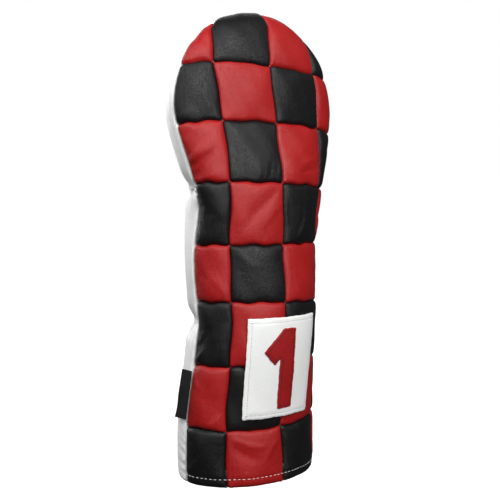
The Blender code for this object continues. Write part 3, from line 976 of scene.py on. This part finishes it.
def round_corners(corners, radius):
    """Each corner replaced by five points of a rounded one."""
    outline = []
    count = len(corners)
    for i, corner in enumerate(corners):
        corner = Vector(corner)
        start = corner + radius * (Vector(corners[i - 1]) - corner).normalized()
        end = corner + radius * (Vector(corners[(i + 1) % count]) - corner).normalized()
        for k in range(5):
            f = k / 4
            outline.append(tuple(start * (1 - f) ** 2 + corner * 2 * f * (1 - f) + end * f * f))
    return outline


def walk(outline, spacing):
    """Points along a closed outline, a spacing apart."""
    corners = np.array(outline)
    corners = np.concatenate([corners, corners[:1]])
    lengths = np.concatenate([[0], np.cumsum(np.linalg.norm(np.diff(corners, axis=0), axis=1))])
    count = max(3, round(lengths[-1] / spacing))
    stops = np.linspace(0, lengths[-1], count + 1)[:-1]
    return np.stack([np.interp(stops, lengths, corners[:, k]) for k in range(2)], axis=-1)


def normals_2d(points):
    """Inward directions along a closed outline that runs anticlockwise."""
    along = unit(np.roll(points, -1, axis=0) - np.roll(points, 1, axis=0))
    return np.stack([-along[:, 1], along[:, 0]], axis=-1)


def wavy(outline, pitch, amount, seed):
    """A hand-cut edge: the outline with a little unevenness."""
    points = walk(outline, pitch / 2)
    k = np.arange(len(points))
    wave = np.sin(k * 1.3 + seed) + 1.2 * np.sin(k * 0.43 + 2 * seed) + 0.5 * np.sin(k * 2.3 + seed)
    return points + normals_2d(points) * (wave * amount)[:, None]


def outline_distance(places, outline):
    """Distance from each place to the nearest point of a closed outline."""
    a = np.asarray(outline)
    b = np.roll(a, -1, axis=0)
    along = b - a
    offset = places[:, None, :] - a[None]
    f = np.clip((offset * along).sum(-1) / (along * along).sum(-1), 0, 1)
    gaps = offset - f[..., None] * along
    return np.linalg.norm(gaps, axis=2).min(axis=1)


def patch_height(places):
    """Height of the patch's back over the sleeve: low at its edge, uneven within."""
    edge = outline_distance(places, PATCH_SHAPE)
    x, z = places[:, 0], places[:, 1]
    uneven = 0.00022 * np.sin(x / 0.0085 + 1.3) * np.sin(z / 0.0105 + 0.4)
    uneven += 0.00012 * np.sin(x / 0.0038 + z / 0.0061)
    return PATCH_LIFT + uneven * smooth(edge / 0.008) + 0.0003 * smooth(edge / 0.005)


def on_front(places, height):
    return skin(FRONT, across_at(places[:, 0], places[:, 1]), places[:, 1], -height)


def applique(name, outline, back_height, thickness, stitch_inset, material, node):
    """Leather laid on the front, with cut edges and a dent along its stitching."""
    flat = bmesh.new()
    flat.faces.new([flat.verts.new((x, 0, z)) for x, z in outline])
    for axis in (0, 2):
        low = min(v.co[axis] for v in flat.verts)
        high = max(v.co[axis] for v in flat.verts)
        for k in range(math.ceil(low / APPLIQUE_CELL), math.floor(high / APPLIQUE_CELL) + 1):
            normal = Vector([float(i == axis) for i in range(3)])
            bmesh.ops.bisect_plane(flat, geom=flat.verts[:] + flat.edges[:] + flat.faces[:],
                                   plane_co=normal * k * APPLIQUE_CELL, plane_no=normal, dist=1e-7)
    flat.verts.index_update()
    places = np.array([(v.co.x, v.co.z) for v in flat.verts])
    edge = outline_distance(places, outline)
    back = back_height(places)
    dent = 0.00022 * hump(edge, stitch_inset, 0.0006)
    roll = 0.0004 * (1 - smooth(edge / 0.0009)) ** 2
    top = back + thickness - dent - roll
    count = len(places)
    points = np.concatenate([on_front(places, top), on_front(places, back)])
    tops = [tuple(v.index for v in f.verts) for f in flat.faces]
    faces = tops + [tuple(i + count for i in reversed(f)) for f in tops]
    for border in flat.edges:
        if border.is_boundary:
            i, j = (v.index for v in border.verts)
            faces.append((j, i, i + count, j + count))
    flat.free()
    piece = add_mesh(name, points, faces, material)
    tidy_normals(piece)
    finish_piece(piece, node)


PATCH_SHAPE = patch_outline()
NUMERAL_SHAPE = numeral_outline()


def numeral_height(places):
    return patch_height(places) + PATCH_THICKNESS + 0.00004


# ---- stitches


# Each run's stitches: length, gap between them, and the thread's radius.
HEM_STITCH = (0.002, 0.0013, 0.00017)
GATHER_STITCH = (0.0026, 0.001, 0.00026)
PATCH_STITCH = (0.0012, 0.0007, 0.00022)
NUMERAL_STITCH = (0.0014, 0.0009, 0.00032)
STITCH_SIDES = 6
STITCH_PROUD = 0.6       # how far a stitch's middle stands out, in radii
RAY_START = 0.006        # where the search for the leather starts, outside the sleeve
RAY_LENGTH = 0.014


def stitches(name, path, out, size, material, node):
    """Separate stitches along a path, whose ends dive into the leather."""
    length, gap, radius = size
    steps = np.linalg.norm(np.diff(path, axis=0), axis=1)
    reach = np.concatenate([[0], np.cumsum(steps)])
    count = int(reach[-1] // (length + gap))
    pitch = reach[-1] / count
    sides = STITCH_SIDES
    points, faces = [], []
    shares = np.array([0, 0.08, 0.25, 0.5, 0.75, 0.92, 1])
    rise = np.array([-1.6, -0.3, 0.75, 1.0, 0.75, -0.3, -1.6]) * radius * STITCH_PROUD
    thick = np.array([0.55, 0.85, 1.0, 1.0, 1.0, 0.85, 0.55]) * radius
    for k in range(count):
        jitter = 0.12 * math.sin(k * 2.3) + 0.08 * math.sin(k * 5.1)
        stops = (k + 0.5 * gap / pitch + jitter * gap / pitch) * pitch + shares * length
        centre = np.stack([np.interp(stops, reach, path[:, i]) for i in range(3)], axis=-1)
        normal = np.stack([np.interp(stops, reach, out[:, i]) for i in range(3)], axis=-1)
        sideways = unit(np.cross(unit(centre[-1] - centre[0]), normal))
        skew = 0.25 * radius * (shares - 0.5)[:, None] * sideways
        centre = centre + normal * rise[:, None] + skew
        first = len(points)
        for c, n, w, r in zip(centre, normal, sideways, thick):
            for i in range(sides):
                turn = math.tau * i / sides
                points.append(c + r * (math.cos(turn) * n + math.sin(turn) * w))
        for ring in range(len(shares) - 1):
            for i in range(sides):
                a = first + ring * sides + i
                b = first + ring * sides + (i + 1) % sides
                faces.append((a, b, b + sides, a + sides))
        faces.append(tuple(first + i for i in range(sides))[::-1])
        last = first + (len(shares) - 1) * sides
        faces.append(tuple(last + i for i in range(sides)))
    piece = add_mesh(name, points, faces, material)
    finish_piece(piece, node)


def applique_stitches(name, outline, inset, height, thickness, size, material, node):
    """A run of stitches inside the edge of a piece that lies on the front."""
    points = walk(outline, 0.0006)
    smoothed = points + normals_2d(points) * inset
    places = walk(smoothed[::3], 0.0006)
    places = np.concatenate([places, places[:1]])
    top = height(places) + thickness - 0.00018
    path = on_front(places, top)
    out = unit(on_front(places, top + 0.001) - path)
    stitches(name, path, out, size, material, node)


def surface_path(names, side, u, height):
    """Points on the finished leather at each u and a height, and the way out of it there."""
    bpy.context.view_layer.update()
    w = np.full_like(u, height)
    out = outward(side, u, w)
    draw = drawn_in if side == BACK else pinch
    start = draw(skin(side, u, w), u, w) + out * RAY_START
    found = []
    for point, way in zip(start, out):
        best = point - way * (RAY_START + 0.0005)
        for name in names:
            hit, place, _, _ = bpy.data.objects[name].ray_cast(Vector(point), Vector(-way),
                                                               distance=RAY_LENGTH)
            if hit and (Vector(place) - Vector(point)).length < np.linalg.norm(best - point):
                best = np.array(place)
        found.append(best)
    return np.array(found), out


def make_hem_stitches():
    u = np.linspace(-0.985, 0.985, 420)
    row = [f"check_r{ROWS}_c{c}_leather" for c in range(1, COLUMNS + 1)]
    front, front_out = surface_path(row, FRONT, u, HEM_STITCH_HEIGHT)
    back, back_out = surface_path(["back_panel_leather"], BACK, -u, HEM_STITCH_HEIGHT)
    path = np.concatenate([front, back, front[:1]])
    out = np.concatenate([front_out, back_out, front_out[:1]])
    stitches("hem_stitches", path, out, HEM_STITCH, WHITE_THREAD, "hem_stitching")


def make_gather_stitches():
    u = np.linspace(-0.93, 0.93, 400)
    for name, height in ELASTICS.items():
        path, out = surface_path(["back_panel_leather"], BACK, u, height)
        stitches(f"gather_stitches_{name}", path, out, GATHER_STITCH, WHITE_THREAD,
                 f"gather_stitching_{name}")


# ---- label, lining and elastics

LABEL_WIDTH = 0.009
LABEL_THICKNESS = 0.0008
LABEL_LEAN = math.radians(4)
LABEL_SEWN_DEPTH = 0.0022    # how far its root goes into the seam


def make_label():
    """Folded ribbon: two plies joined by a rounded fold, sewn into the seam at its root."""
    low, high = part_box("seam_label")
    w = np.linspace(low.z, high.z, 40)
    hinge = frame["joints"][0]
    axis = Vector(hinge["axis"]).normalized()
    middle = Vector(hinge["pos_m"])
    back_and_out = Vector((-math.sin(LABEL_LEAN), math.cos(LABEL_LEAN), 0))
    off = axis.cross(back_and_out).normalized()
    if off.x > 0:
        off = -off
    half = LABEL_THICKNESS / 2
    turn = np.linspace(-math.pi / 2, math.pi / 2, 9)
    straight = np.linspace(-LABEL_SEWN_DEPTH, LABEL_WIDTH - half, 14)
    outline = [(r, half) for r in straight]
    outline += [(LABEL_WIDTH - half + half * math.cos(a), -half * math.sin(a)) for a in turn[1:-1]]
    outline += [(r, -half) for r in straight[::-1]]
    points = []
    for height in w:
        share = (height - low.z) / (high.z - low.z)
        sewn = middle + axis * ((height - middle.z) / axis.z)
        curl = 0.0011 * (1 - share) ** 2 - 0.0003 * math.sin(share * 7)
        for reach, side in outline:
            free = max(reach, 0) / LABEL_WIDTH
            bend = curl * free * free + 0.00015 * math.sin(share * 11 + free * 3) * free
            points.append(sewn + back_and_out * reach + off * (side + bend))
    count = len(outline)
    faces = grid_faces(count - 1, len(w) - 1)
    for j in range(len(w) - 1):
        a, b = j * count, (j + 1) * count
        faces.append((a + count - 1, a, b, b + count - 1))
    faces.append(tuple(range(count))[::-1])
    faces.append(tuple(range((len(w) - 1) * count, len(w) * count)))
    label = add_mesh("seam_label_ribbon", points, faces, RIBBON)
    tidy_normals(label)
    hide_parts("seam_label")
    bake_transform(label)


LINING_OUTSIDE = 0.0034
LINING_THICKNESS = 0.0026
LINING_START = 0.014
LINING_CELLS = (90, 110)
PILE_HEIGHT = 0.0009
ELASTIC_CELLS = (240, 12)
ELASTIC_FACES = (0.0022, 0.003)     # depths of the band's outer and inner face
ELASTIC_ENDS = 0.86                  # share of the sleeve's u that the band's ends reach


def wool(points, size):
    """Uneven heights, 0 to 1, for a pile."""
    x, y, z = (points[..., i] / size for i in range(3))
    waves = np.sin(1.7 * x + 2.3 * z) * np.sin(2.1 * y - 1.3 * z) + np.sin(3.1 * x - 1.1 * y + 0.7 * z)
    waves = waves + 0.6 * np.sin(5.3 * x + 4.1 * y) * np.sin(4.7 * z + 1.0)
    return 0.5 + waves / 5.2


def make_lining(name, side):
    across, up = LINING_CELLS
    s, t = np.meshgrid(np.linspace(0, 1, across + 1), np.linspace(0, 1, up + 1))
    u, w = panel_place(LINING_START)(s, t)
    draw = drawn_in if side == BACK else pinch
    outer = draw(skin(side, u, w, LINING_OUTSIDE), u, w)
    pile = PILE_HEIGHT * wool(outer, 0.0016)
    inner = draw(skin(side, u, w, LINING_OUTSIDE + LINING_THICKNESS - pile), u, w)
    lining = add_shell(f"{name}_fleece", outer, inner, side == BACK, FLEECE)
    finish_piece(lining, name)


def make_elastic(name, height):
    """Ribbed webbing drawn tight behind the back panel."""
    low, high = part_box(f"elastic_{name}")
    across, up = ELASTIC_CELLS
    half = (high.z - low.z) / 2
    end = high.x / section(height)[0]
    lines = np.linspace(-half, half, up + 1)
    u, lift = np.meshgrid(np.linspace(-end, end, across + 1) * ELASTIC_ENDS, lines)
    ribs = 0.00016 * np.abs(np.sin(lift / half * 4.5 * math.pi / 2)) + 0.00008 * np.sin(u * 300)
    w = height + lift
    outer = drawn_in(skin(BACK, u, w, ELASTIC_FACES[0] - ribs), u, w)
    inner = drawn_in(skin(BACK, u, w, ELASTIC_FACES[1] + ribs), u, w)
    band = add_shell(f"elastic_{name}_webbing", outer, inner, True, ELASTIC)
    finish_piece(band, f"elastic_{name}")


make_camera()
make_studio()
make_squares()
make_back_panel()
applique("number_patch_leather", PATCH_SHAPE, patch_height, PATCH_THICKNESS, PATCH_STITCH_INSET,
         PATCH_WHITE, "number_patch")
applique("numeral_one_leather", NUMERAL_SHAPE, numeral_height, NUMERAL_THICKNESS,
         NUMERAL_STITCH_INSET, NUMERAL_RED, "numeral_one")
applique_stitches("patch_stitches", PATCH_SHAPE, PATCH_STITCH_INSET, patch_height, PATCH_THICKNESS,
                  PATCH_STITCH, GREY_THREAD, "patch_stitching")
applique_stitches("numeral_stitches", NUMERAL_SHAPE, NUMERAL_STITCH_INSET, numeral_height,
                  NUMERAL_THICKNESS, NUMERAL_STITCH, DARK_THREAD, "numeral_stitching")
make_hem_stitches()
make_gather_stitches()
make_label()
make_lining("front_lining", FRONT)
make_lining("back_lining", BACK)
for band_name, band_height in ELASTICS.items():
    make_elastic(band_name, band_height)
